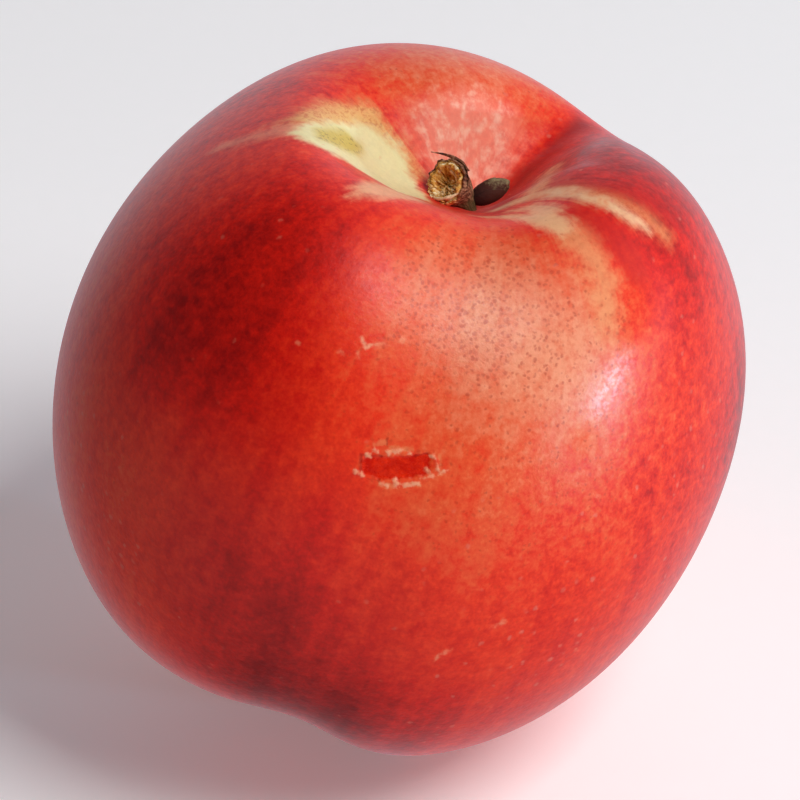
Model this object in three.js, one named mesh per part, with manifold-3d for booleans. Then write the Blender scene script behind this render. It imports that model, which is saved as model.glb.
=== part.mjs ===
// A ripe nectarine at rest, with the torn stub of its twig and one bud in the stem cavity.
// Millimetres, +Z up. The origin is on the ground, under the middle of the fruit's box.
// The fruit is shaped about its own stem axis first, and then leant over to the pose it rests in.

import * as THREE from 'three';
import { mergeVertices } from 'three/addons/utils/BufferGeometryUtils.js';
import Module from 'manifold-3d';

const { clamp, degToRad, lerp, smoothstep } = THREE.MathUtils;

// Pose: the stem axis leans to +X and a little to -Y, and the skin sinks into a flat spot.
const leanRight = 16.7;
const leanForward = 4.2;
const flatSpotSink = 0.4;

// Fruit: half widths of the plain ellipsoid, to the side, to the back and along the stem axis.
const halfWidth = new THREE.Vector3(33.0, 33.0, 36.0);

// Directions are degrees: azimuth from +X towards +Y, and the angle down from the stem end.
// A swelling spreads that many degrees round its direction, and raises the skin by its rise.
const swellings = [
  { azimuth: 102.4, down: 60.4, spread: 24.0, rise: 3.18 }, // back lobe
  { azimuth: 13.8, down: 57.9, spread: 24.7, rise: 2.62 }, // right lobe
  { azimuth: 214.1, down: 50.1, spread: 26.5, rise: 3.12 }, // left lobe
  { azimuth: 241.8, down: 99.4, spread: 49.2, rise: 2.35 }, // front belly
  { azimuth: 250.8, down: 144.5, spread: 14.3, rise: -2.4 }, // dent by the tip
  { azimuth: 218.2, down: 35.5, spread: 13.2, rise: 1.07 }, // left shoulder
  { azimuth: 339.9, down: 25.5, spread: 13.8, rise: 4.29 }, // right shoulder
];

// The suture runs from the stem to the tip on two sides. Its depth changes on the way down,
// from the shoulder to the waist to the end; its half width is a share of the fruit's radius.
const sutures = [
  { azimuth: 48.5, halfWidth: 0.24, shoulder: 1.09, waist: 1.11, end: 0.4 }, // back
  { azimuth: 260.7, halfWidth: 0.19, shoulder: 1.23, waist: 0.66, end: 1.92 }, // front
];
const sutureWaistFrom = 30;
const sutureWaistTo = 75;
const sutureEndFrom = 100;
const sutureEndTo = 150;
const sutureFadeFrom = 0.05;
const sutureFadeTo = 0.4;

// Stem cavity: an oval funnel, longer on its left, where the twig pressed a furrow beside it.
// A groove starts at from, has its full depth at full, and is gone at reach; fadeFrom is the
// share of the reach where it starts to fade out.
const cavity = { azimuth: 174.5, depth: 10.5, left: 11.3, right: 8.4, side: 9.7, x: -0.27, y: 0.66 };
const furrow = {
  azimuth: 174.5, depth: 8.0, halfWidth: 9.9, from: -7, full: 8, fadeFrom: 0.35, reach: 21.2,
};
const funnelJoin = 3;

// The back suture opens into the cavity as a valley, and a raised lip runs along its near side.
const valley = {
  azimuth: 55.3, offset: 0.14, depth: 4.17, from: -3, full: 7, fadeFrom: 0.5, reach: 21.4,
  near: 4.57, nearPower: 2.4, far: 5.0, farPower: 1.5,
};
const lip = {
  azimuth: 350, rise: 1.1, near: 3.5, far: 1.6, from: 0, full: 4, fadeFrom: 0.5, reach: 12,
};

// The cavity and its grooves act on the stem half only, from this height along the stem axis.
const stemHalfFrom = -5;
const stemHalfFull = 10;

// The skin's mesh is finest in the cavity: ringBunch is how much the rings crowd there.
const skinSectors = 84;
const skinRings = 46;
const ringBunch = 0.45;
const sameVertex = 1e-4;

// Stub: the twig's torn end. Its places are measured from the cavity's middle, in the rest pose.
const stubRoot = new THREE.Vector3(-0.35, 0.9, -1.9);
const stubNeck = new THREE.Vector3(-0.4, 0.85, 0.8);
const stubFace = new THREE.Vector3(-2.3, 0.55, 3.65);
const stubFaceLean = new THREE.Vector3(-0.38, -0.5, 0.78);
const stubStraightLength = 1.6;
const stubSides = 28;
const stubProfile = [
  { radius: 0.0, height: 0.0 },
  { radius: 0.7, height: 0.0 },
  { radius: 0.95, height: 0.2 },
  { radius: 1.0, height: 0.36 },
  { radius: 1.2, height: 0.5 },
  { radius: 1.5, height: 0.66 },
  { radius: 1.85, height: 0.8 },
  { radius: 2.2, height: 0.91 },
  { radius: 2.3, height: 1.0 },
  { radius: 2.0, height: 1.0 },
  { radius: 1.75, height: 0.93 },
  { radius: 1.3, height: 0.89 },
  { radius: 0.7, height: 0.87 },
  { radius: 0.0, height: 0.88 },
];
const tornFrom = 0.75;
const tornSlope = 0.05;
const splinters = [
  { count: 3, height: 0.035, phase: 0.6 },
  { count: 7, height: 0.025, phase: 2.1 },
  { count: 11, height: 0.02, phase: 4.0 },
];

// Sliver: a strip of bark that curls off the stub's far edge. Same start for its places.
const sliverPath = [
  new THREE.Vector3(-0.75, 1.3, 3.9),
  new THREE.Vector3(-1.3, 1.55, 4.75),
  new THREE.Vector3(-2.1, 1.6, 5.2),
  new THREE.Vector3(-3.3, 1.5, 5.55),
];
const sliverRootRadius = 0.45;
const sliverTipRadius = 0.14;
const sliverSides = 8;
const sliverSteps = 8;

// Bud: a pointed oval in overlapping scales, lying out from the stub along the valley.
const budFoot = new THREE.Vector3(0.85, 1.2, 0.9);
const budTip = new THREE.Vector3(3.85, 2.15, 2.05);
const budHalfWidth = 1.05;
const budFlatness = 0.82;
const budFullness = 0.72;
const budBluntness = 0.8;
const budScaleRows = 3;
const budScaleStep = 0.16;
const budScaleSkew = 0.25;
const budSides = 16;
const budSteps = 15;

// The stub's root sits in a pit of the fruit with this much room round it.
const pitClearance = 0.3;
const pitSides = 24;
const pitMouth = 1.2;
const pitFoot = 1.0;

const skinRed = 0xb8241c;
const twigBrown = 0x9a6a32;
const budBrown = 0x4a3b2a;

const wasm = await Module();
wasm.setup();

function directionOf(azimuth, down) {
  const turn = degToRad(azimuth);
  const tilt = degToRad(down);
  return new THREE.Vector3(
    Math.sin(tilt) * Math.cos(turn),
    Math.sin(tilt) * Math.sin(turn),
    Math.cos(tilt),
  );
}

// Splits a place on the fruit's cross-section into the parts along and across an azimuth.
function alongAcross(x, y, azimuth) {
  const turn = degToRad(azimuth);
  return {
    along: x * Math.cos(turn) + y * Math.sin(turn),
    across: -x * Math.sin(turn) + y * Math.cos(turn),
  };
}

function bell(distance, halfWidth, power = 2) {
  return Math.exp(-(Math.abs(distance / halfWidth) ** power));
}

// Fades a groove or a ridge in and out along its way, from 0 to 1 and back.
function extent(along, { from, full, fadeFrom, reach }) {
  return smoothstep(along, from, full) * (1 - smoothstep(along, reach * fadeFrom, reach));
}

function lobedRadius(direction) {
  let radius = 1 / direction.clone().divide(halfWidth).length();
  for (const swelling of swellings) {
    const middle = directionOf(swelling.azimuth, swelling.down);
    const away = THREE.MathUtils.radToDeg(Math.acos(clamp(direction.dot(middle), -1, 1)));
    radius += swelling.rise * bell(away, swelling.spread * Math.SQRT2);
  }
  return radius;
}

function sutureDepth(direction) {
  const down = THREE.MathUtils.radToDeg(Math.acos(clamp(direction.z, -1, 1)));
  let depth = 0;
  for (const suture of sutures) {
    const { along, across } = alongAcross(direction.x, direction.y, suture.azimuth);
    const toWaist = smoothstep(down, sutureWaistFrom, sutureWaistTo);
    const toEnd = smoothstep(down, sutureEndFrom, sutureEndTo);
    const here = lerp(lerp(suture.shoulder, suture.waist, toWaist), suture.end, toEnd);
    depth += here * bell(across, suture.halfWidth) * smoothstep(along, sutureFadeFrom, sutureFadeTo);
  }
  return depth;
}

// How far the skin drops along the stem axis for the cavity, the furrow, the valley and the lip.
function stemDrop(x, y) {
  const dx = x - cavity.x;
  const dy = y - cavity.y;
  const oval = alongAcross(dx, dy, cavity.azimuth);
  const length = oval.along > 0 ? cavity.left : cavity.right;
  const funnel = cavity.depth * bell(Math.hypot(oval.along / length, oval.across / cavity.side), 1);

  const groove = alongAcross(dx, dy, furrow.azimuth);
  const furrowDepth = furrow.depth * bell(groove.across, furrow.halfWidth) * extent(groove.along, furrow);
  const joined = (funnel ** funnelJoin + furrowDepth ** funnelJoin) ** (1 / funnelJoin);

  const open = alongAcross(dx, dy, valley.azimuth);
  const side = open.across - valley.offset;
  const bank = side < 0 ? bell(side, valley.near, valley.nearPower) : bell(side, valley.far, valley.farPower);
  const valleyDepth = valley.depth * bank * extent(open.along, valley);

  const edge = alongAcross(dx, dy, lip.azimuth);
  const brow = bell(edge.across, edge.across < 0 ? lip.near : lip.far);
  const lipRise = lip.rise * brow * extent(edge.along, lip);

  return joined + valleyDepth - lipRise;
}

function skinPoint(direction) {
  const point = direction.clone().multiplyScalar(lobedRadius(direction) - sutureDepth(direction));
  point.z -= stemDrop(point.x, point.y) * smoothstep(point.z, stemHalfFrom, stemHalfFull);
  return point;
}

const restTurn = new THREE.Matrix4().makeRotationFromEuler(
  new THREE.Euler(degToRad(leanForward), degToRad(leanRight), 0),
);

// Moves every vertex of a geometry by a function of its place.
function reshape(geometry, move) {
  const position = geometry.attributes.position;
  const point = new THREE.Vector3();
  for (let i = 0; i < position.count; i += 1) {
    point.fromBufferAttribute(position, i);
    const moved = move(point);
    position.setXYZ(i, moved.x, moved.y, moved.z);
  }
  return geometry;
}

// Shares the vertices along seams and at poles, and leaves out triangles that have no area.
function closeUp(geometry) {
  geometry.deleteAttribute('normal');
  geometry.deleteAttribute('uv');
  const merged = mergeVertices(geometry, sameVertex);
  const corners = merged.index.array;
  const kept = [];
  for (let i = 0; i < corners.length; i += 3) {
    const [a, b, c] = corners.slice(i, i + 3);
    if (a !== b && b !== c && c !== a) {
      kept.push(a, b, c);
    }
  }
  merged.setIndex(kept);
  return merged;
}

function toSolid(geometry) {
  const closed = closeUp(geometry);
  return new wasm.Manifold(new wasm.Mesh({
    numProp: 3,
    vertProperties: Float32Array.from(closed.attributes.position.array),
    triVerts: Uint32Array.from(closed.index.array),
  }));
}

function toGeometry(solid) {
  const { vertProperties, triVerts } = solid.getMesh();
  const geometry = new THREE.BufferGeometry();
  geometry.setAttribute('position', new THREE.BufferAttribute(vertProperties, 3));
  geometry.setIndex(new THREE.BufferAttribute(triVerts, 1));
  geometry.computeVertexNormals();
  return geometry;
}

// Bends a shape that stands on the +Y axis, one unit tall, along a curve.
function bendAlong(geometry, curve) {
  const sideways = new THREE.Vector3(1, 0, 0);
  return reshape(geometry, (point) => {
    const share = clamp(point.y, 0, 1);
    const tangent = curve.getTangentAt(share);
    const back = new THREE.Vector3().crossVectors(tangent, sideways).normalize();
    const across = new THREE.Vector3().crossVectors(back, tangent);
    return curve.getPointAt(share)
      .addScaledVector(tangent, (point.y - share) * curve.getLength())
      .addScaledVector(across, point.x)
      .addScaledVector(back, -point.z);
  });
}

function makeSkin() {
  const sphere = new THREE.SphereGeometry(1, skinSectors, skinRings).rotateX(Math.PI / 2);
  return reshape(sphere, (point) => {
    const ring = Math.acos(clamp(point.z, -1, 1)) / Math.PI;
    const down = 180 * lerp(ring, ring * ring, 1 - ringBunch);
    const azimuth = THREE.MathUtils.radToDeg(Math.atan2(point.y, point.x));
    return skinPoint(directionOf(azimuth, down)).applyMatrix4(restTurn);
  });
}

// The height that a shape has to be raised by, so that it sinks into the ground by the flat spot.
function groundLift(geometry) {
  geometry.computeBoundingBox();
  return -geometry.boundingBox.min.z - flatSpotSink;
}

const skin = makeSkin();
const lift = groundLift(skin);
const cavityMiddle = skinPoint(new THREE.Vector3(0, 0, 1)).applyMatrix4(restTurn);
cavityMiddle.z += lift;

function fromCavity(place) {
  return place.clone().add(cavityMiddle);
}

function stubCurve() {
  const face = fromCavity(stubFace);
  const belowFace = face.clone().addScaledVector(stubFaceLean, -stubStraightLength);
  return new THREE.CatmullRomCurve3([fromCavity(stubRoot), fromCavity(stubNeck), belowFace, face]);
}

function splinterHeight(turn) {
  return splinters.reduce((sum, row) => sum + row.height * Math.cos(row.count * turn + row.phase), 0);
}

function makeStub() {
  const outline = stubProfile.map(({ radius, height }) => new THREE.Vector2(radius, height));
  const stub = new THREE.LatheGeometry(outline, stubSides);
  reshape(stub, (point) => {
    const radius = Math.hypot(point.x, point.z);
    const turn = Math.atan2(point.z, point.x);
    const torn = smoothstep(point.y, tornFrom, 1) * Math.min(radius, 1);
    point.y += torn * (splinterHeight(turn) + tornSlope * Math.cos(turn));
    return point;
  });
  return toSolid(bendAlong(stub, stubCurve()));
}

function makeSliver() {
  const strip = new THREE.CylinderGeometry(
    sliverTipRadius, sliverRootRadius, 1, sliverSides, sliverSteps,
  ).translate(0, 0.5, 0);
  return toSolid(bendAlong(strip, new THREE.CatmullRomCurve3(sliverPath.map(fromCavity))));
}

function makeBud() {
  const outline = [];
  for (let i = 0; i <= budSteps; i += 1) {
    const share = i / budSteps;
    const radius = budHalfWidth * Math.sin(Math.PI * share ** budFullness) ** budBluntness;
    outline.push(new THREE.Vector2(i % budSteps === 0 ? 0 : radius, share));
  }
  const bud = new THREE.LatheGeometry(outline, budSides);
  reshape(bud, (point) => {
    const turn = Math.atan2(point.z, point.x);
    const row = point.y * budScaleRows + budScaleSkew * Math.cos(2 * turn);
    const inset = 1 - budScaleStep * (1 - (row - Math.floor(row)));
    return point.set(point.x * inset, point.y, point.z * inset * budFlatness);
  });
  return toSolid(bendAlong(bud, new THREE.LineCurve3(fromCavity(budFoot), fromCavity(budTip))));
}

// The pit that takes the stub's root, as a plain round hole along the root.
function makePit() {
  const root = fromCavity(stubRoot);
  const neck = fromCavity(stubNeck);
  const bottom = root.clone().sub(neck).setLength(pitClearance).add(root);
  const hole = new THREE.CylinderGeometry(
    pitMouth + pitClearance, pitFoot + pitClearance, 1, pitSides,
  ).translate(0, 0.5, 0);
  return toSolid(bendAlong(hole, new THREE.LineCurve3(bottom, neck)));
}

// Everything above the ground, as one large box that stands on it.
function makeAboveGround() {
  const size = 4 * halfWidth.z;
  return toSolid(new THREE.BoxGeometry(size, size, size).translate(0, 0, size / 2));
}

function makeFruit() {
  const flesh = toSolid(skin.translate(0, 0, lift));
  return flesh.subtract(makePit()).intersect(makeAboveGround());
}

function piece(name, solid, color, roughness) {
  const material = new THREE.MeshStandardMaterial({ color, roughness, metalness: 0 });
  const mesh = new THREE.Mesh(toGeometry(solid), material);
  mesh.name = name;
  return mesh;
}

const nectarine = new THREE.Group();
nectarine.add(
  piece('fruit', makeFruit(), skinRed, 0.4),
  piece('stem', makeStub().add(makeSliver()), twigBrown, 0.85),
  piece('bud', makeBud(), budBrown, 0.7),
);

const box = new THREE.Box3().setFromObject(nectarine);
const middle = box.getCenter(new THREE.Vector3());
nectarine.position.set(-middle.x, -middle.y, 0);

export default nectarine;
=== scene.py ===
import math

import bmesh
import bpy
import numpy as np
from mathutils import Matrix, Vector, noise


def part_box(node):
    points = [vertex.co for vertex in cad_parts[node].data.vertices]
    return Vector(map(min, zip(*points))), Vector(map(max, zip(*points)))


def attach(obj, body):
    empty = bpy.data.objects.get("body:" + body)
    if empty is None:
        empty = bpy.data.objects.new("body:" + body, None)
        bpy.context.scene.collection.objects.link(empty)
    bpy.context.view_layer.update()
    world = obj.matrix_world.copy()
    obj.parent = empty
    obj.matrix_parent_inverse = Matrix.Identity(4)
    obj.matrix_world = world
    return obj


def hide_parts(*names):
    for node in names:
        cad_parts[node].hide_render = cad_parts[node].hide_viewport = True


mm = 0.001  # shapes are written in millimetres, and the scene is in metres
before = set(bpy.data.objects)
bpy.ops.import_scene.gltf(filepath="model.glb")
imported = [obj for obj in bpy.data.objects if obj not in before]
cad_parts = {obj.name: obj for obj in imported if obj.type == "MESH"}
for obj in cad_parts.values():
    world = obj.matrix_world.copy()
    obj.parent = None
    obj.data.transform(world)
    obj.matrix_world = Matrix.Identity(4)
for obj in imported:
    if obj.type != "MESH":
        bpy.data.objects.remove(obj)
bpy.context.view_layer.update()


# numbers that bend and fade
def smooth(value, low, high):
    share = np.clip((value - low) / (high - low), 0, 1)
    return share * share * (3 - 2 * share)


def bell(distance, halfWidth, power=2):
    return np.exp(-np.abs(distance / halfWidth) ** power)


def lerp(start, end, share):
    return start + (end - start) * share


def directionOf(azimuth, down):  # degrees: from +X towards +Y, and down from the stem
    turn, tilt = np.radians(azimuth), np.radians(down)
    return np.stack([np.sin(tilt) * np.cos(turn), np.sin(tilt) * np.sin(turn), np.cos(tilt)], axis=-1)


def bumpy(x, y, z, seed=0.0):  # smooth noise about -1 to 1, for every vertex
    return np.array([noise.noise((a + seed, b - seed, c + 2 * seed)) for a, b, c in zip(x, y, z)])


# a socket: sums and products of it add their Math nodes
class Wire:
    def __init__(self, paint, socket):
        self.paint = paint
        self.socket = socket

    def __add__(self, other):
        if self.socket.type == "VECTOR":
            return self.paint.vectorMaths("ADD", self, other)
        return self.paint.maths("ADD", self, other)

    def __sub__(self, other):
        return self.paint.maths("SUBTRACT", self, other)

    def __rsub__(self, other):
        return self.paint.maths("SUBTRACT", other, self)

    def __mul__(self, other):
        return self.paint.maths("MULTIPLY", self, other)

    __radd__ = __add__
    __rmul__ = __mul__


class Paint:
    def __init__(self, name, owner=None):
        self.owner = owner or bpy.data.materials.new(name)
        self.owner.use_nodes = True
        self.tree = self.owner.node_tree
        self.tree.nodes.clear()

    def node(self, kind, settings=None, inputs=None, output=0):
        made = self.tree.nodes.new("ShaderNode" + kind)
        for key, value in (settings or {}).items():
            setattr(made, key, value)
        for key, value in (inputs or {}).items():
            if isinstance(value, Wire):
                self.tree.links.new(value.socket, made.inputs[key])
            else:
                made.inputs[key].default_value = value
        return Wire(self, made.outputs[output])

    def maths(self, operation, *values):
        return self.node("Math", {"operation": operation}, dict(enumerate(values)))

    def vectorMaths(self, operation, *values):
        output = "Value" if operation == "DOT_PRODUCT" else "Vector"
        return self.node("VectorMath", {"operation": operation}, dict(enumerate(values)), output)

    def scaled(self, vector, factor):
        inputs = {"Vector": vector, "Scale": factor}
        return self.node("VectorMath", {"operation": "SCALE"}, inputs, "Vector")

    def attribute(self, name, output="Fac"):
        return self.node("Attribute", {"attribute_name": name}, output=output)

    def placeInMillimetres(self):
        return self.scaled(self.node("TexCoord", output="Object"), 1 / mm)

    def mottle(self, vector, size, detail=3.0, roughness=0.55):  # about -0.5 to 0.5
        inputs = {"Vector": vector, "Scale": 1 / size, "Detail": detail, "Roughness": roughness}
        return self.node("TexNoise", inputs=inputs) - 0.5

    def spots(self, vector, size):  # distance from each spot's middle, and a chance from 0 to 1 for each
        distance = self.node("TexVoronoi", inputs={"Vector": vector, "Scale": 1 / size}, output="Distance")
        colour = Wire(self, distance.socket.node.outputs["Color"])
        return distance, self.vectorMaths("DOT_PRODUCT", colour, (1.0, 0, 0))

    def ease(self, value, low, high, start=0.0, end=1.0):
        inputs = {"Value": value, "From Min": low, "From Max": high, "To Min": start, "To Max": end}
        return self.node("MapRange", {"interpolation_type": "SMOOTHSTEP"}, inputs)

    def ramp(self, stops, value):
        ramp = self.node("ValToRGB", inputs={0: value}, output="Color")
        elements = ramp.socket.node.color_ramp.elements
        elements.remove(elements[-1])
        for index, (place, colour) in enumerate(stops):
            stop = elements.new(place) if index else elements[0]
            stop.position = place
            stop.color = colour
        return ramp

    def mix(self, mask, under, over):  # colours
        return self.node("Mix", {"data_type": "RGBA"}, {0: mask, 6: under, 7: over}, 2)

    def bump(self, height, distance, strength):
        return self.node("Bump", inputs={"Height": height, "Distance": distance * mm, "Strength": strength})

    def finish(self, **inputs):
        inputs = {key.replace("_", " "): value for key, value in inputs.items()}
        self.end("Material", self.node("BsdfPrincipled", inputs=inputs, output="BSDF"))
        return self.owner

    def end(self, kind, surface):
        ending = self.tree.nodes.new("ShaderNodeOutput" + kind)
        self.tree.links.new(surface.socket, ending.inputs["Surface"])


def tint(red, green, blue):  # screen colour 0-255 to the linear one
    def linear(value):
        share = value / 255
        return share / 12.92 if share <= 0.04045 else ((share + 0.055) / 1.055) ** 2.4
    return (linear(red), linear(green), linear(blue), 1.0)


# the fruit's form: a lobed oval about its stem axis, leant over to the pose it rests in
fruitForm = {
    "leanRight": 16.7,
    "leanForward": 4.2,
    "flatSpotSink": 0.4,
    "halfWidth": (33.0, 33.0, 36.0),
    # azimuth, down, spread, rise
    "swellings": [
        (102.4, 60.4, 24.0, 3.18),  # back lobe
        (13.8, 57.9, 24.7, 2.62),  # right lobe
        (214.1, 50.1, 26.5, 3.12),  # left lobe
        (241.8, 99.4, 49.2, 2.35),  # front belly
        (250.8, 144.5, 14.3, -2.4),  # dent by the tip
        (218.2, 35.5, 13.2, 1.07),  # left shoulder
        (339.9, 25.5, 13.8, 4.29),  # right shoulder
    ],
    # azimuth, half width, depth at the shoulder, the waist and the end
    "sutures": [(48.5, 0.24, 1.09, 1.11, 0.4), (260.7, 0.19, 1.23, 0.66, 1.92)],
    # degrees down from the shoulder to the waist and on to the end, and how a suture fades at the stem
    "sutureWaist": (30, 75),
    "sutureEnd": (100, 150),
    "sutureFade": (0.05, 0.4),
    # an oval funnel, and a groove that starts at from, is full at full and is gone at reach
    "cavity": {"azimuth": 174.5, "depth": 10.5, "left": 11.3, "right": 8.4, "side": 9.7, "x": -0.27,
               "y": 0.66},
    "furrow": {"azimuth": 174.5, "depth": 8.0, "halfWidth": 9.9, "from": -7, "full": 8, "fadeFrom": 0.35,
               "reach": 21.2},
    "valley": {"azimuth": 55.3, "offset": 0.14, "depth": 4.17, "from": -3, "full": 7.0, "fadeFrom": 0.5,
               "reach": 21.4, "near": 4.57, "nearPower": 2.4, "far": 5.0, "farPower": 1.5},
    "lip": {"azimuth": 350, "rise": 1.1, "near": 3.5, "far": 1.6, "from": 0, "full": 4.0, "fadeFrom": 0.5,
            "reach": 12.0},
    "funnelJoin": 3,
    "dropFade": (-5, 10),  # the cavity's reach along the stem axis
    "sectors": 364,
    "rings": 230,
    "ringBunch": 0.45,
}


def alongAcross(x, y, azimuth):
    turn = math.radians(azimuth)
    return x * math.cos(turn) + y * math.sin(turn), y * math.cos(turn) - x * math.sin(turn)


def degreesDown(directions):
    return np.degrees(np.arccos(np.clip(directions[:, 2], -1, 1)))


def degreesAway(directions, azimuth, down):
    return np.degrees(np.arccos(np.clip(directions @ directionOf(azimuth, down), -1, 1)))


def softPatches(directions, places):  # azimuth, down, spread, amount
    return sum(amount * bell(degreesAway(directions, azimuth, down), spread * math.sqrt(2))
               for azimuth, down, spread, amount in places)


def lobedRadius(directions):
    oval = 1 / np.linalg.norm(directions / np.array(fruitForm["halfWidth"]), axis=1)
    return oval + softPatches(directions, fruitForm["swellings"])


def sutureDepth(directions):
    down = degreesDown(directions)
    depth = np.zeros(len(directions))
    for azimuth, halfWidth, shoulder, waist, end in fruitForm["sutures"]:
        along, across = alongAcross(directions[:, 0], directions[:, 1], azimuth)
        upper = lerp(shoulder, waist, smooth(down, *fruitForm["sutureWaist"]))
        here = lerp(upper, end, smooth(down, *fruitForm["sutureEnd"]))
        depth += here * bell(across, halfWidth) * smooth(along, *fruitForm["sutureFade"])
    return depth


def grooveFade(along, groove):  # how far a groove is there, on its way out from the stem
    risen = smooth(along, groove["from"], groove["full"])
    return risen * (1 - smooth(along, groove["reach"] * groove["fadeFrom"], groove["reach"]))


def stemDrop(x, y):  # how far the skin sinks along the stem axis
    cavity, furrow, valley, lip = (fruitForm[name] for name in ("cavity", "furrow", "valley", "lip"))
    dx, dy = x - cavity["x"], y - cavity["y"]
    along, across = alongAcross(dx, dy, cavity["azimuth"])
    length = np.where(along > 0, cavity["left"], cavity["right"])
    funnel = cavity["depth"] * bell(np.hypot(along / length, across / cavity["side"]), 1)

    along, across = alongAcross(dx, dy, furrow["azimuth"])
    groove = furrow["depth"] * bell(across, furrow["halfWidth"]) * grooveFade(along, furrow)
    join = fruitForm["funnelJoin"]
    joined = (funnel ** join + groove ** join) ** (1 / join)

    along, across = alongAcross(dx, dy, valley["azimuth"])
    side = across - valley["offset"]
    bank = np.where(side < 0, bell(side, valley["near"], valley["nearPower"]),
                    bell(side, valley["far"], valley["farPower"]))
    opening = valley["depth"] * bank * grooveFade(along, valley)

    along, across = alongAcross(dx, dy, lip["azimuth"])
    edge = bell(across, np.where(across < 0, lip["near"], lip["far"]))
    return joined + opening - lip["rise"] * edge * grooveFade(along, lip)


def skinPoints(directions):
    points = directions * (lobedRadius(directions) - sutureDepth(directions))[:, None]
    points[:, 2] -= stemDrop(points[:, 0], points[:, 1]) * smooth(points[:, 2], *fruitForm["dropFade"])
    return points


restTurn = (Matrix.Rotation(math.radians(fruitForm["leanForward"]), 3, "X")
            @ Matrix.Rotation(math.radians(fruitForm["leanRight"]), 3, "Y"))


def atRest(points):
    return points @ np.array(restTurn).T


def addObject(name, data):
    made = bpy.data.objects.new(name, data)
    bpy.context.scene.collection.objects.link(made)
    return made


def addPiece(name, bm, material, node):  # a new piece stands for a node of the frame
    mesh = bpy.data.meshes.new(name)
    bm.to_mesh(mesh)
    bm.free()
    mesh.shade_smooth()
    mesh.materials.append(material)
    piece = addObject(name, mesh)
    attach(piece, "root")
    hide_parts(node)
    return mesh


def vertexPlaces(mesh):
    places = np.empty(len(mesh.vertices) * 3)
    mesh.vertices.foreach_get("co", places)
    return places.reshape(-1, 3)


def setAttribute(mesh, name, values):
    vector = values.ndim == 2
    made = mesh.attributes.new(name, "FLOAT_VECTOR" if vector else "FLOAT", "POINT")
    made.data.foreach_set("vector" if vector else "value", np.asarray(values, dtype=np.float32).ravel())


# marks on the skin, in degrees about the stem: azimuth, down, and the half width of a stroke.
# the outlines and strokes of one name are painted together
skinMarks = {
    "creamPatch": [[(183, 32), (176, 30), (169, 26), (158, 23), (151, 20.5), (146.5, 18), (144, 15),
                    (146, 12.5), (157, 10.3), (178, 7), (205, 8), (205, 14), (197, 20), (193, 25),
                    (189, 30)]],
    "patchTail": [[(182, 30, 2.6), (181, 33, 2.0), (180.5, 37, 1.5), (179.5, 41, 1.3), (178.5, 45, 0.8)]],
    "patchHollow": [[(184, 27), (182.5, 24), (179, 20.5), (171, 19), (166, 19.5), (167, 22.5), (173, 25.5),
                     (179, 27.5)]],
    "nearWedge": [[(217.5, 28.5), (212, 25), (208, 20), (206, 13), (222, 11), (230, 15), (226, 19),
                   (223.5, 24), (220, 26)]],
    "orangeFringe": [
        [(176, 37), (172, 33), (160, 30), (148, 26), (141, 22), (139, 17), (138, 12), (146, 9), (180, 12),
         (180, 30)],
        [(330, 8, 1.6), (329.5, 12, 2.0), (327, 16, 2.2), (329, 20.5, 2.2), (331.5, 25, 2.0),
         (333, 28, 1.6)],
    ],
    "creamStreak": [[(300, 4.8, 0.9), (320, 5.4, 1.0), (326, 7.5, 1.3), (326, 12, 1.2), (323.5, 16, 1.0),
                     (325, 20, 1.0), (327, 23, 0.9), (328.5, 26, 0.4)]],
    "paleStreak": [
        [(341, 7.4, 1.0), (12, 9, 1.2), (25, 11, 1.2), (33, 13, 0.8)],
        [(262, 9, 0.5), (283, 10, 0.9), (291, 13, 1.4), (297, 15, 2.2), (300, 18, 2.2)],
        [(296, 8, 0.5), (306, 10.5, 1.2), (303, 14, 1.8)],
    ],
    "tongue": [[(290, 10), (292, 14), (294, 18), (296, 21), (298.5, 24), (300.5, 27.5), (300, 31),
                (301.5, 35), (303, 38.5), (306.5, 38.5), (309, 34.5), (311, 30), (310.5, 26), (309, 22),
                (307.5, 19), (304, 15.5), (301, 12)]],
    "redBand": [
        [(337, 10, 1.0), (335.5, 14, 1.4), (335, 19, 1.6), (338, 24, 1.6), (340, 28, 1.0)],
        [(306, 11, 0.3), (310, 15.5, 0.7), (313, 20, 1.4), (315.5, 25, 1.9), (318, 30, 1.6)],
    ],
    # the cavity's far wall: pale pink, and partly painted light where the wall faces up into the light
    "litPinkWall": [[(66, 4), (62, 13), (64, 20), (74, 23.5), (92, 22.5), (110, 20.5), (126, 19.5), (136, 17),
                  (140, 13), (150, 8), (180, 4)]],
    # painted shade: the right lobe's flank beside the back valley, darkened where it turns away from the
    # light
    "shadedFlank": [[(64, 5), (60, 12), (58, 18), (57, 25), (58, 33), (48, 33), (49, 24), (45, 16), (38, 10),
                   (20, 6)]],
    # a faint row of healed nicks, left of the middle
    "nick": [[(244.7, 44.4, 0.22), (245.8, 44.9, 0.36), (246.4, 45.3, 0.28), (247, 44.6, 0.2),
              (248.2, 44.1, 0.08)]],
    # small pale blisters: four low on the right, then the pale ends of the nicks
    "blister": [
        [(277.2, 93.9, 0.35), (278.2, 91.6, 0.45), (279.8, 89.8, 0.25)],
        [(285.3, 84.8, 0.2), (286.3, 84.4, 0.5), (287.2, 83.8, 0.5)],
        [(300.7, 61.9, 0.35), (301.3, 62.5, 0.3)],
        [(304.4, 93.3, 0.2), (305.2, 93.9, 0.25)],
        [(234.4, 50, 0.06), (235.1, 49.9, 0.08)],
        [(242.4, 47.6, 0.15), (243.1, 47.6, 0.2)],
        [(245.4, 46.6, 0.14), (246.3, 47.2, 0.12)],
        [(247.9, 44.2, 0.3), (249.3, 43.5, 0.22)],
        [(252.3, 41.8, 0.2), (253.0, 41.3, 0.2)],
    ],
}
markReach = 8  # no mark is felt further inside or outside its edge


def planeOf(azimuth, down):
    return np.stack([down * np.cos(np.radians(azimuth)), down * np.sin(np.radians(azimuth))], axis=-1)


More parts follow.
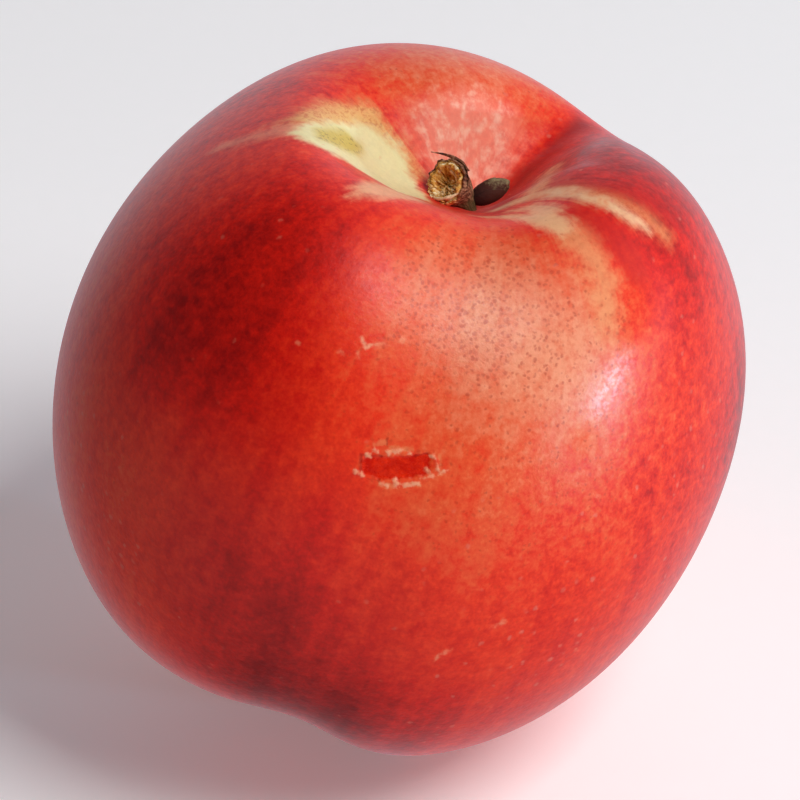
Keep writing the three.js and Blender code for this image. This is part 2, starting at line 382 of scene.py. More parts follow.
def toEdge(plane, start, end):  # how far along an edge the nearest place on it is, and how far away
    edge = end - start
    share = np.clip((plane - start) @ edge / (edge @ edge), 0, 1)
    return share, np.linalg.norm(plane - start - share[:, None] * edge, axis=1)


def insideOutline(plane, corners):  # how far inside a closed outline
    nearest = np.full(len(plane), np.inf)
    inside = np.zeros(len(plane), dtype=bool)
    for start, end in zip(corners, np.roll(corners, -1, axis=0)):
        nearest = np.minimum(nearest, toEdge(plane, start, end)[1])
        crosses = (start[1] > plane[:, 1]) != (end[1] > plane[:, 1])
        rise = end[1] - start[1] or 1e-9
        where = start[0] + (plane[:, 1] - start[1]) * (end[0] - start[0]) / rise
        inside ^= crosses & (plane[:, 0] < where)
    return np.where(inside, nearest, -nearest)


def insideStroke(plane, places, widths):  # how far inside a brush stroke whose half width changes
    best = np.full(len(plane), -np.inf)
    for start, end, width, nextWidth in zip(places, places[1:], widths, widths[1:]):
        share, away = toEdge(plane, start, end)
        best = np.maximum(best, lerp(width, nextWidth, share) - away)
    return best


# soft fields over the skin: the plain amount, then patches of azimuth, down, spread, change
skinFields = {
    # 0 is the darkest maroon and 1 is pale orange
    "tone": (0.48, [
        # dark left cheek, then darker patches lower down
        (216, 58, 12, -0.24), (222, 38, 8, -0.12), (190, 75, 20, 0.06), (205, 98, 22, 0.08),
        # painted shade: darker round the front suture's crease near the tip (243, 88; 255, 92; 252, 112;
        # 251, 108) and underneath, near the floor (272, 118)
        (243, 88, 8, -0.1), (252, 112, 12, -0.18), (320, 60, 9, -0.06), (357, 72, 15, -0.26),
        (323, 38, 9, -0.12), (255, 92, 8, -0.1), (272, 118, 12, -0.2), (251, 108, 6, -0.05),
        # orange front; at 258, 34 and 272, 32 partly a painted sheen, paler where the key light's reflection
        # falls
        (282, 42, 15, 0.22), (302, 41, 10, 0.14), (258, 34, 9, 0.17), (250, 28, 6, 0.06),
        (277, 21, 6, 0.14), (294, 43, 8, 0.08), (288, 35, 7, 0.12), (272, 32, 7, 0.07), (262, 57, 9, 0.06),
        (270, 69, 9, 0.04), (296, 62, 18, 0.05), (238, 46, 6, 0.03), (262, 70, 9, 0.04),
        (330, 52, 12, 0.06), (254, 74, 7, -0.09), (276, 82, 16, 0.03), (300, 98, 16, -0.02),
        # dull right shoulder
        (345, 22, 10, -0.15), (28, 28, 12, -0.2),
        # paler back; on the back lobe's top (80, 32 and 112, 28) this is partly painted light, where it
        # faces up into the light
        (80, 32, 10, 0.2), (112, 28, 11, 0.26), (140, 40, 12, -0.06), (85, 80, 26, 0.08),
        (40, 120, 26, 0.2),
    ]),
    # pale dots
    "dots": (0.0, [
        (296, 92, 15, 0.8), (318, 68, 12, 0.7), (203, 98, 12, 0.9), (225, 105, 12, 0.6), (345, 100, 30, 0.6),
        (90, 60, 40, 0.3), (140, 110, 40, 0.5), (20, 45, 25, 0.4),
    ]),
    # small brown specks, which crowd in the sheen
    "specked": (0.0, [(257, 31, 9, 1.0), (271, 33, 9, 0.9), (284, 46, 12, 0.1), (95, 16, 12, -1.0)]),
    # how strong the mottling is
    "lively": (0.38, [
        (318, 52, 22, 0.55), (330, 95, 26, 0.05), (285, 60, 20, 0.1), (330, 22, 12, -0.2),
        (160, 45, 26, 0.4), (90, 60, 40, 0.5), (60, 110, 40, 0.4),
    ]),
    # where the wax is rubbed off
    "matte": (0.0, [
        (308, 25, 5.5, 1.0), (318, 21, 4, 1.0), (312.5, 37, 3.6, 1.0), (315, 32, 3, 1.0),
        (297, 52, 2.6, 1.0), (241, 26, 7, 0.7), (260, 21, 6, 0.3), (276, 23, 6, 0.2), (290, 28, 6, 0.7),
    ]),
}


# a healed scar: its marks are in millimetres to the right of its middle and down the skin from it
skinScar = {
    "azimuth": 261.0, "down": 60.0, "turn": -18.9, "reach": 6.2, "sink": 0.12, "rise": 0.06,
    "hollow": [(-3.3, -1.2), (-2.6, -1.35), (-1.8, -1.15), (0, -1.1), (1.2, -1.2), (2.8, -1.4), (3.2, -0.8),
               (3.1, 0.3), (2.6, 0.9), (1.2, 1.1), (-0.4, 1.3), (-1.6, 1.2), (-2.8, 1), (-3.5, 0.5),
               (-3.7, -0.5)],
    # from, to, half width
    "cork": [(3.2, -1.05, 3.6, -0.6, 0.16), (3.7, -0.2, 3.85, 0.5, 0.18), (-1.6, 1.7, -1.2, 1.8, 0.12),
             (-0.4, 1.35, -0.25, 1.8, 0.12), (-0.2, 1.7, 1.1, 1.75, 0.14), (1.3, 1.65, 1.9, 1.6, 0.13),
             (-3.0, -1.15, -2.85, -1.1, 0.18), (-2.3, -1.8, -2.05, -1.6, 0.1),
             (-1.2, -1.6, -0.95, -1.3, 0.1), (-0.4, -1.6, 0.3, -1.65, 0.07), (1, -1.3, 1.1, -1.25, 0.16),
             (-4.1, 0.4, -3.6, 0.7, 0.2), (2.7, 0.3, 2.85, 0.45, 0.12), (2.1, 1.2, 3.3, 0.95, 0.04),
             (3.9, 0.6, 4.9, 0.35, 0.03)],
    "halo": [(-2.3, -2.3, -1.4, -2.4, 0.25), (-0.8, -1.9, 1.2, -1.7, 0.3), (-1.8, 1.8, 2, 1.7, 0.2),
             (3.9, -0.9, 4.1, 0.7, 0.2)],
    "dark": [(-1.1, -2.95, -1.1, -2.0, 0.05), (-3.6, -1.3, -3.7, 0.2, 0.12), (-3.4, -1.25, -1.6, -1.1, 0.06),
             (1.4, -1.0, 2.8, -1.25, 0.03), (-3, 1.1, -1.9, 1.3, 0.05)],
}


# where the faces are finer, for the scar and the nicks: azimuth, down, reach in degrees
fineSpots = [(skinScar["azimuth"], skinScar["down"], 10.8), (243.5, 46.5, 7.5)]


def scarMarks(points):  # how far inside each of the scar's marks, with ragged edges
    middle, across, downhill = (np.array(part) for part in skinScar["frame"])
    plane = np.stack([(points - middle) @ across, (points - middle) @ downhill], axis=-1)
    near = np.linalg.norm(points - middle, axis=1) < skinScar["reach"]
    rag = bumpy(*(points[near] * 1.9).T) * 0.2 + bumpy(*(points[near] * 4.5).T, 4) * 0.13
    marks = {}
    for name in ("hollow", "cork", "halo", "dark"):
        marks[name] = np.full(len(points), -1.0)
        if name == "hollow":
            inside = insideOutline(plane[near], np.array(skinScar[name], dtype=float))
        else:
            lines = [(np.array([line[:2], line[2:4]]), [line[4]] * 2) for line in skinScar[name]]
            inside = np.maximum.reduce([insideStroke(plane[near], ends, widths) for ends, widths in lines])
        marks[name][near] = np.clip(inside + rag * (0.6 if name == "dark" else 1.0), -1, 1)
    return marks


def skinAttributes(mesh, directions, scarred):
    down = degreesDown(directions)
    azimuth = np.degrees(np.arctan2(directions[:, 1], directions[:, 0]))
    plane = planeOf(azimuth, down)
    for name, (plain, places) in skinFields.items():
        setAttribute(mesh, name, plain + softPatches(directions, places))
    setAttribute(mesh, "meridian", np.stack([np.cos(np.radians(azimuth)), np.sin(np.radians(azimuth)),
                                             down / 90], axis=-1))
    for name, marks in skinMarks.items():
        painted = np.full(len(plane), -np.inf)
        for mark in marks:
            turns, slopes, *widths = np.array(mark, dtype=float).T
            places = planeOf(turns, slopes)
            inside = insideStroke(plane, places, *widths) if widths else insideOutline(plane, places)
            painted = np.maximum(painted, inside)
        setAttribute(mesh, name, np.clip(painted, -markReach, markReach))
    for name, values in scarred.items():
        setAttribute(mesh, "scar" + name.capitalize(), values)


# the skin's colours and finish
skinFinish = {
    "tones": [
        (0.0, tint(108, 3, 4)), (0.2, tint(160, 6, 5)), (0.4, tint(220, 22, 6)), (0.55, tint(240, 50, 16)),
        (0.7, tint(238, 86, 42)), (0.85, tint(236, 116, 76)), (1.0, tint(238, 140, 100)),
    ],
    "cream": tint(240, 224, 166),
    "hollow": tint(210, 178, 72),
    "hollowSpeck": tint(160, 126, 44),
    "tail": tint(240, 160, 124),
    "fringe": tint(234, 138, 86),
    "fringePale": tint(240, 196, 118),
    "fringeSpeck": tint(186, 84, 40),
    "streakCream": tint(246, 198, 150),
    "paleStreak": tint(244, 190, 140),
    "tongue": tint(236, 144, 92),
    "band": tint(200, 24, 18),
    # the far wall's pale pinks, partly painted light
    "litPink": tint(252, 140, 114),
    "litPalePink": tint(255, 194, 166),
    # painted shade for the flank beside the back valley
    "flankShade": tint(150, 10, 12),
    "speck": tint(176, 40, 10),
    "lenticel": tint(228, 112, 90),
    "blister": tint(246, 150, 108),
    "scarRed": tint(234, 36, 3),
    "scarDeep": tint(204, 15, 1),
    "scarDark": tint(128, 10, 4),
    "cork": tint(248, 160, 120),
    # how many noise grains there are round the fruit, and down it
    "streakGrain": (20.0, 20.0, 1.8),
    "bandGrain": (8.0, 8.0, 1.1),
    "runGrain": (8.0, 8.0, 26.0),
    # millimetres between the specks and between the pale dots, and how far they are pushed about
    "speckSpacing": 0.54,
    "dotSpacing": 1.4,
    "drift": 0.55,
    # the wax: a gloss coat over a soft shine, with pores and a faint peel
    "roughness": 0.41,
    "coat": 0.18,
    "coatRoughness": 0.23,
    "peelDepth": 0.07,
    "peelStrength": 0.42,
}

# how each mark is painted: where the paint starts and is full, inside the mark's edge, then its strength,
# and how much coarse and fine noise frays that edge
skinBrushes = {
    # the far wall's pink, partly painted light
    "litPinkWall": (-2.5, 5.0, 0.85, 1.6, 0),
    # painted shade on the valley's flank
    "shadedFlank": (-1.0, 2.5, 0.8, 1.0, 0),
    "tongue": (-1.6, 2.4, 0.85, 1.9, 0),
    "orangeFringe": (-1.6, 3.0, 0.85, 2.0, 0),
    "redBand": (-1.2, 1.4, 0.6, 1.6, 0),
    "paleStreak": (-1.1, 1.3, 0.8, 0.9, 0),
    "creamStreak": (-0.9, 1.2, 0.85, 0.9, 0),
    "patchTail": (-1.4, 2.2, 0.6, 1.5, 0),
    "nearWedge": (-1.2, 1.8, 0.75, 1.2, 0),
    "creamPatch": (-0.9, 1.6, 1.0, 1.1, 0),
    "patchHollow": (-1.8, 1.2, 0.9, 0.7, 0),
    "nick": (-0.3, 0.35, 0.8, 0, 1.3),
    "blister": (-0.5, 0.5, 0.6, 0, 1.6),
    "scarHalo": (-0.15, 0.2, 0.4, 0, 0.8),
    "scarHollow": (-0.12, 0.25, 0.92, 0, 0.5),
    "scarDark": (-0.16, 0.16, 0.6, 0, 0.5),
    "scarCork": (-0.2, 0.15, 0.8, 0, 1.1),
}


class SkinPaint(Paint):
    def __init__(self, name):
        super().__init__(name)
        self.place = self.placeInMillimetres()
        self.clouds = self.mottle(self.place, 9.0, 4)
        self.blotches = self.mottle(self.place, 2.4, 4, 0.6)
        self.patchy = self.mottle(self.place, 1.6, 2, 0.5)
        self.mottles = self.mottle(self.place, 1.05, 3, 0.6)
        self.grain = self.mottle(self.place, 0.4, 2, 0.6)
        self.streaks = self.downTheSkin("streakGrain", 4, 0.6)
        self.ragged = self.blotches * 2.2 + self.streaks * 2.0 + self.mottles * 1.6
        self.specked = self.attribute("specked")

    def downTheSkin(self, grain, detail, roughness):  # noise drawn out from the stem to the tip, or round
        meridian = self.vectorMaths("MULTIPLY", self.attribute("meridian", "Vector"), skinFinish[grain])
        return self.mottle(meridian, 1.0, detail, roughness)

    def toned(self):  # 0 is the darkest maroon and 1 is pale orange
        bands = self.downTheSkin("bandGrain", 2, 0.5)
        fleck = (self.grain * 0.34 + self.mottles * 0.8) * self.attribute("lively")
        tone = self.attribute("tone") + self.clouds * 0.16 + self.blotches * 0.16 + self.streaks * 0.24
        return tone + bands * 0.2 + fleck * 0.8

    def brush(self, colour, mark, over):
        start, full, strength, coarse, fine = skinBrushes[mark]
        frayed = self.attribute(mark) + (self.ragged * coarse if coarse else self.mottles * fine)
        return self.mix(self.ease(frayed, start, full) * strength, colour, over)

    def cavityMarks(self, colour):  # what is painted round the stem, the lowest layer first
        f = skinFinish
        runs = self.downTheSkin("runGrain", 3, 0.6)
        pale = self.ease(runs * 1.6 + self.patchy * 0.6 + self.mottles * 0.7, -0.14, 0.36)
        warm = self.ease(self.mottles + self.grain * 0.7 + self.blotches * 0.4, -0.3, 0.22)
        warmPatches = self.ease(self.patchy + self.mottles * 0.7, -0.1, 0.35)
        inward = self.ease(self.attribute("creamPatch") + self.ragged * 0.8, -7.0, 0.5)
        fringe = self.mix(inward, f["fringe"], f["fringePale"])
        flecks = self.ease(self.mottles * 0.9 + self.grain, -0.12, 0.3) * 0.7
        hollowFlecks = self.ease(self.grain * 1.2 + self.mottles * 0.6, 0.02, 0.24)
        layers = {
            # pale pink, partly painted light on the far wall
            "litPinkWall": self.mix(pale, f["litPink"], f["litPalePink"]),
            # painted shade on the valley's flank
            "shadedFlank": f["flankShade"],
            "tongue": self.mix(warm, f["fringe"], f["tongue"]),
            "orangeFringe": self.mix(flecks, fringe, f["fringeSpeck"]),
            "redBand": f["band"],
            "paleStreak": f["paleStreak"],
            "creamStreak": self.mix(warmPatches, f["streakCream"], f["fringe"]),
            "patchTail": f["tail"],
            "nearWedge": f["paleStreak"],
            "creamPatch": f["cream"],
            "patchHollow": self.mix(hollowFlecks, f["hollow"], f["hollowSpeck"]),
        }
        for mark, over in layers.items():
            colour = self.brush(colour, mark, over)
        return colour

    def specks(self, colour, tone):  # small brown specks, then pale dots
        f = skinFinish
        noise = self.node("TexNoise", inputs={"Vector": self.place, "Scale": 1.6}, output="Color")
        place = self.place + self.scaled(noise, f["drift"])
        clean = self.ease(self.attribute("creamPatch"), -1.0, 0.5, 1.0, 0.25)
        gather = self.ease(self.blotches + self.clouds * 0.6, -0.3, 0.3, 0.55, 1.0)
        away, chance = self.spots(place, f["speckSpacing"])
        dot = self.ease(away + self.mottles * 0.4 - self.specked * 0.06, 0.06, 0.46, 1.0, 0.0)
        present = self.ease(chance + self.specked * 0.45, 0.4, 0.85) * clean * gather
        onPale = self.ease(tone, 0.35, 0.8, 0.05, 0.66)
        colour = self.mix(dot * present * onPale, colour, f["speck"])

        dots = self.attribute("dots")
        away, chance = self.spots(place, f["dotSpacing"])
        present = self.ease(chance + dots * 0.5, 0.78, 1.15)
        dot = self.ease(away + self.mottles * 0.2 - dots * 0.06, 0.03, 0.24, 1.0, 0.0)
        return self.mix(dot * present * 0.55, colour, f["lenticel"])

    def scar(self, colour):
        f = skinFinish
        deep = self.ease(self.mottles + self.blotches * 0.6, -0.15, 0.25)
        colour = self.brush(colour, "scarHalo", f["fringe"])
        colour = self.brush(colour, "scarHollow", self.mix(deep, f["scarDeep"], f["scarRed"]))
        colour = self.brush(colour, "scarDark", f["scarDark"])
        return self.brush(colour, "scarCork", f["cork"])

    def waxed(self, colour):
        f = skinFinish
        peel = self.mottle(self.place, 0.45, 2, 0.5)
        crinkle = self.mottle(self.place, 0.24, 2, 0.6) * self.specked  # the wax crazes where specks crowd
        height = peel + self.mottle(self.place, 3.0, 2) * 1.2 + crinkle * 0.7
        pores = self.ease(peel + self.grain * 0.3 + crinkle * 0.6, -0.14, 0.14, 0.4, 1.45)
        inScar = self.ease(self.attribute("scarHollow"), -0.3, 0.1)
        inLitWall = self.ease(self.attribute("litPinkWall"), -3.0, 1.0)
        matte = self.maths("MAXIMUM", self.attribute("matte"), inLitWall)
        roughness = f["roughness"] + self.blotches * 0.1 + self.grain * 0.12 + matte * 0.2 - inScar * 0.14
        matte = self.maths("MAXIMUM", matte, inScar)
        normal = self.bump(height, f["peelDepth"], f["peelStrength"])
        return self.finish(
            Base_Color=colour, Roughness=roughness, Normal=normal, IOR=1.36, Coat_IOR=1.45,
            Coat_Weight=(f["coat"] - matte * 0.17) * pores, Coat_Roughness=f["coatRoughness"],
            Sheen_Weight=0.1, Sheen_Roughness=0.35, Sheen_Tint=(1.0, 0.85, 0.88, 1.0),
            Subsurface_Weight=0.1, Subsurface_Radius=(1.0, 0.3, 0.15), Subsurface_Scale=1.2 * mm,
        )


def makeSkinMaterial():
    paint = SkinPaint("waxySkin")
    tone = paint.toned()
    colour = paint.cavityMarks(paint.ramp(skinFinish["tones"], tone))
    colour = paint.brush(colour, "nick", skinFinish["cork"])
    colour = paint.brush(colour, "blister", skinFinish["blister"])
    colour = paint.specks(colour, tone)
    colour = paint.scar(colour)
    shade = paint.ease(paint.grain * 0.5 + paint.mottles * 0.7, -0.25, 0.25, 0.91, 1.0)
    return paint.waxed(paint.scaled(colour, shade))


def scarFrame(shift):  # its middle, and the ways across and down the skin there
    scar = skinScar
    near = [(0, 0), (1, 0), (0, 1)]
    spots = directionOf(*np.array([(scar["azimuth"] + a, scar["down"] + d) for a, d in near]).T)
    middle, side, below = atRest(skinPoints(spots)) + shift
    across, downhill = Vector(side - middle).normalized(), Vector(below - middle).normalized()
    cosine, sine = math.cos(math.radians(scar["turn"])), math.sin(math.radians(scar["turn"]))
    return middle, across * cosine + downhill * sine, downhill * cosine - across * sine


def scarRelief(points, marks):  # the scar lies a little below the skin, and its cork a little above
    across, downhill = (np.array(part) for part in skinScar["frame"][1:])
    outward = np.cross(downhill, across)
    relief = skinScar["rise"] * smooth(marks["cork"], -0.12, 0.12)
    relief -= skinScar["sink"] * smooth(marks["hollow"], -0.2, 0.3)
    return points + outward * relief[:, None]


def spreadRings(sphere):  # rings stand closer together near the stem
    ring = np.arccos(np.clip(sphere[:, 2] / np.linalg.norm(sphere, axis=1), -1, 1)) / math.pi
    down = 180 * lerp(ring, ring * ring, 1 - fruitForm["ringBunch"])
    return directionOf(np.degrees(np.arctan2(sphere[:, 1], sphere[:, 0])), down)


def refineMarks(bm):  # finer faces where the smallest marks will be
    middles = spreadRings(np.array([face.calc_center_median() for face in bm.faces]))
    away = np.minimum.reduce([degreesAway(middles, azimuth, down) - reach
                              for azimuth, down, reach in fineSpots])
    bm.faces.ensure_lookup_table()
    near = {edge for index in np.flatnonzero(away < 0) for edge in bm.faces[index].edges}
    bmesh.ops.subdivide_edges(bm, edges=list(near), cuts=3, use_grid_fill=True)


def makeFruit():  # gives back where the stem sits
    bm = bmesh.new()
    bmesh.ops.create_uvsphere(bm, u_segments=fruitForm["sectors"], v_segments=fruitForm["rings"], radius=1)
    refineMarks(bm)
    mesh = addPiece("nectarineSkin", bm, makeSkinMaterial(), "fruit")
    directions = spreadRings(vertexPlaces(mesh))
    points = atRest(skinPoints(directions))
    lift = -points[:, 2].min() - fruitForm["flatSpotSink"]
    low, high = (np.array(corner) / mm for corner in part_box("fruit"))
    middle = (low + high) / 2 - (points.min(axis=0) + points.max(axis=0)) / 2
    shift = np.array([middle[0], middle[1], lift])
    points += shift
    points[:, 2] = np.maximum(points[:, 2], 0)
    skinScar["frame"] = scarFrame(shift)
    scarred = scarMarks(points)
    points = scarRelief(points, scarred)
    mesh.vertices.foreach_set("co", (points * mm).ravel())
    mesh.update()
    skinAttributes(mesh, directions, scarred)
    stemSeat = atRest(skinPoints(np.array([[0.0, 0.0, 1.0]])))[0] + shift
    print("fruit:", len(mesh.polygons), "faces, stem seat at", np.round(stemSeat, 2))
    return Vector(stemSeat)


cavityMiddle = makeFruit()


curveStep = 0.01  # how far ahead a curve is looked at for its direction


def onCurve(pulls, share):  # a cubic curve drawn by four pull points
    rest = 1 - share
    weights = (rest ** 3, 3 * rest ** 2 * share, 3 * rest * share ** 2, share ** 3)
    return sum(weight[:, None] * pull for weight, pull in zip(weights, pulls))


# a woody piece is shaped straight along +Z, one unit tall, and then bent along a curve
class Bend:
    def __init__(self, *places):  # measured from the skin where the stem sits
        self.places = [np.array(Vector(place) + cavityMiddle) for place in places]
        steps = onCurve(self.places, np.linspace(0, 1, 60))
        self.length = np.linalg.norm(np.diff(steps, axis=0), axis=1).sum()

    def place(self, x, y, height):
        share = np.clip(height, 0, 1)
        ahead = onCurve(self.places, np.minimum(share + curveStep, 1))
        tangent = ahead - onCurve(self.places, np.maximum(share - curveStep, 0))
        tangent /= np.linalg.norm(tangent, axis=1)[:, None]
        back = np.cross(tangent, np.array([1.0, 0, 0]))
        back /= np.linalg.norm(back, axis=1)[:, None]
        across = np.cross(back, tangent)
        over = ((height - share) * self.length)[:, None]
        return onCurve(self.places, share) + tangent * over + across * x[:, None] + back * y[:, None]


def spinProfile(bm, profile, steps):  # (radius, height) pairs turned about +Z into a closed skin
    verts = [bm.verts.new((radius, 0, height)) for radius, height in profile]
    edges = [bm.edges.new(pair) for pair in zip(verts, verts[1:])]
    bmesh.ops.spin(bm, geom=verts + edges, cent=(0, 0, 0), axis=(0, 0, 1), angle=math.tau,
                   steps=steps, use_merge=True)
    bmesh.ops.remove_doubles(bm, verts=bm.verts[:], dist=1e-5)
    bmesh.ops.recalc_face_normals(bm, faces=bm.faces[:])


def smoothProfile(knots, count):  # even steps along a soft line through (radius, height) knots
    knots = np.array(knots, dtype=float)
    length = np.concatenate([[0], np.cumsum(np.linalg.norm(np.diff(knots, axis=0), axis=1))])
    steps = np.linspace(0, length[-1], count)
    line = np.stack([np.interp(steps, length, knots[:, 0]), np.interp(steps, length, knots[:, 1])], axis=-1)
    line[1:-1] = (line[:-2] + 2 * line[1:-1] + line[2:]) / 4
    return line


stemShape = {
    "path": [(-0.35, 0.9, -1.9), (-0.3, 1.0, 0.6), (-1.5, 1.15, 1.8), (-2.55, 0.25, 3.1)],
    # outside from the root up, over the bark's edge, and down into the torn cup
    "profile": [(0, 0), (0.9, 0), (1.0, 0.2), (1.1, 0.36), (1.35, 0.5), (1.8, 0.66), (2.15, 0.82),
                (2.32, 0.93), (2.36, 1.01), (2.2, 1.04), (2.05, 1.0), (1.95, 0.98), (1.82, 1.04),
                (1.6, 1.03), (1.3, 0.94), (0.9, 0.89), (0.5, 0.87), (0, 0.89)],
    "profileSteps": 92,
    "sides": 100,
    # how far out splinters stand, how long and thick they are, and how they lean, curl and go aside
    "splinters": {"count": 90, "reach": 1.8, "length": (0.35, 0.95), "radius": (0.05, 0.12), "tip": 0.015,
                  "lean": (-0.5, 0.45), "curl": (-0.5, 0.5), "side": (-0.35, 0.35)},
    # torn strips in the cup: four pull points across the stub and above its floor, in millimetres
    "strips": [[(-0.6, 1.9, 1.1), (0.8, 2.3, 1.9), (2.1, 1.2, 1.9), (1.6, -0.4, 0.9)],
               [(-0.4, 1.5, 0.6), (0.5, 1.6, 1.5), (1.4, 0.9, 1.5), (1.0, -0.1, 0.5)],
               [(-2.1, -0.7, 0.9), (-1.0, -1.7, 1.5), (0.4, -1.9, 1.6), (1.7, -1.1, 1.0)],
               [(-2.0, 1.0, 0.8), (-2.0, 0.1, 1.5), (-1.4, -0.5, 1.2), (-0.5, -0.9, 0.5)]],
    "stripHalfWidth": 0.2,
    "cupFloor": 0.82,
    # a peeled flake of bark, at the back and right: turn and span are degrees round the stub
    "flake": {"turn": 38, "span": 165, "foot": 0.62, "height": 0.42, "thickness": 0.22, "wood": 0.3},
    # a sliver of bark that curls off the far edge
    "sliver": [(-0.5, 1.5, 3.7), (-1.2, 1.9, 5.3), (-2.6, 1.6, 5.7), (-4.0, 1.4, 6.1)],
    "sliverFoot": 0.5,
    "sliverTip": 0.1,
    # the wood attribute: 0 is bark, 1 is torn wood, and more is a bleached strip
    "thinBark": 0.72,
    "stripWood": 1.4,
    "sliverWood": 0.2,
    "seed": 7,
}


def addTo(bm, other):  # joins a finished small mesh to a larger one
    mesh = bpy.data.meshes.new("part")
    other.to_mesh(mesh)
    bm.from_mesh(mesh)
    other.free()
    bpy.data.meshes.remove(mesh)


def moveAll(bm, move):
    places = np.array([vert.co for vert in bm.verts])
    for vert, place in zip(bm.verts, move(*places.T)):
        vert.co = place


def addWood(name, bm, material, node):
    bmesh.ops.scale(bm, vec=(mm, mm, mm), verts=bm.verts[:])
    mesh = addPiece(name, bm, material, node)
    print(node + ":", len(mesh.polygons), "faces")


def dried(paint, colour, height, f):  # a dull, dry surface
    normal = paint.bump(height, f["relief"], 0.8)
    return paint.finish(Base_Color=colour, Roughness=f["roughness"], Specular_IOR_Level=0.3, Normal=normal)


def makeRod(sides, foot, tip, cuts):  # a closed rod from 0 to 1 along +Z, with rings to bend it at
    rod = bmesh.new()
    bmesh.ops.create_cone(rod, cap_ends=True, segments=sides, radius1=foot, radius2=tip, depth=1)
    bmesh.ops.translate(rod, verts=rod.verts[:], vec=(0, 0, 0.5))
    upright = [edge for edge in rod.edges if abs(edge.verts[0].co.z - edge.verts[1].co.z) > 0.5]
    bmesh.ops.subdivide_edges(rod, edges=upright, cuts=cuts)
    return rod


def addFibre(bm, fibre, wood, way):  # wood says how bare it is, and way shifts its grain
    mark = fibre.verts.layers.float.new("wood")
    along = fibre.verts.layers.float_vector.new("grainWay")
    for vert in fibre.verts:
        vert[mark] = wood
        vert[along] = (way, 5.0, float(vert.index % 7) * 0.1)
    addTo(bm, fibre)


def markWood(bm):  # 0 on the bark, 1 on the torn wood, and between them where the bark is thin
    wood = bm.verts.layers.float["wood"]
    grain = bm.verts.layers.float_vector["grainWay"]
    for vert in bm.verts:
        radius, turn = math.hypot(vert.co.x, vert.co.y), math.atan2(vert.co.y, vert.co.x)
        torn = vert.co.z > 0.76 and radius < 2.1 and not (radius > 1.9 and vert.co.z < 0.99)
        thin = (0.5 - 0.5 * math.cos(turn - math.radians(50))) * float(smooth(vert.co.z, 0.72, 0.95))
        vert[wood] = 1.0 if torn else stemShape["thinBark"] * thin
        steep = 1.4 if torn else 2.4
        vert[grain] = (math.cos(turn) * steep, math.sin(turn) * steep, radius * 0.35 + vert.co.z * 1.2)


def tear(bend, x, y, height):  # rough bark outside, torn fibres inside, and an uneven edge
    radius, turn = np.hypot(x, y), np.arctan2(y, x)
    cosine, sine = np.cos(turn), np.sin(turn)
    upper = smooth(height, 0.7, 1.0) * smooth(radius, 0.2, 1.4)
    inside = smooth(height, 0.78, 0.86) * smooth(-radius, -2.15, -1.3)
    outside = 1 - smooth(height, 0.9, 1.0) * smooth(-radius, -2.45, -2.15)

    def rough(often, way, seed=0.0):
        return bumpy(cosine * often, sine * often, way, seed)

    bark = rough(4, height * 3.0) * 0.09 + rough(11, height * 5, 3) * 0.06
    fibres = rough(7, radius * 0.8, 5) * 0.08 + rough(17, radius * 1.5, 9) * 0.05
    wide = 1 + upper * (0.1 * np.cos(turn - 0.8) + 0.05 * rough(2, radius * 0, 2))
    radius = radius * wide + bark * outside
    tilted = 0.06 * np.cos(turn - 1.0) + 0.075 * rough(3, radius * 0.4, 1)
    height = height + upper * tilted + inside * fibres
    height = height + upper * rough(12, radius * 0.6, 8) * 0.045
    return bend.place(radius * cosine, radius * sine, height)


def addSplinter(bm, bend, chance):  # a loose fibre that stands in the cup or on its edge
    shape = stemShape["splinters"]
    turn = chance.uniform(0, math.tau)
    reach = shape["reach"] * math.sqrt(chance.uniform(0.05, 1))
    long = chance.uniform(*shape["length"]) * (0.6 + 0.4 * reach / 2)
    fibre = makeRod(5, chance.uniform(*shape["radius"]), shape["tip"], 3)
    lean, curl, side = (chance.uniform(*shape[way]) for way in ("lean", "curl", "side"))
    foot = 0.87 + 0.08 * float(smooth(reach, 0.8, 1.7))

    def stand(x, y, z):
        out = reach + (lean * z + curl * z * z) * long + x
        aside = side * z * long + y
        return bend.place(out * math.cos(turn) - aside * math.sin(turn),
                          out * math.sin(turn) + aside * math.cos(turn), foot + z * long / bend.length)

    moveAll(fibre, stand)
    addFibre(bm, fibre, 1.0, reach)


def addStrip(bm, bend, pulls, seed):  # a torn strip that arches over the cup's floor
    shape = stemShape
    ribbon = makeRod(8, 1, 1, 18)

    def arch(x, y, z):
        middle = onCurve(pulls, z)
        ahead = onCurve(pulls, z + curveStep) - middle
        ahead /= np.linalg.norm(ahead[:, :2], axis=1)[:, None]
        frayed = 1 + 0.5 * bumpy(z * 5, x * 0, x * 0, seed)
        wide = shape["stripHalfWidth"] * frayed * (0.5 + 0.5 * np.sin(z * math.pi))
        thick = 0.5 * (0.4 + bumpy(z * 7, x * 0, x * 0, seed + 5) * 0.3) * wide / 0.2
        height = middle[:, 2] - 0.25 + y * thick
        return bend.place(middle[:, 0] - ahead[:, 1] * x * wide, middle[:, 1] + ahead[:, 0] * x * wide,
                          shape["cupFloor"] + height / bend.length)

    moveAll(ribbon, arch)
    addFibre(bm, ribbon, shape["stripWood"], seed)


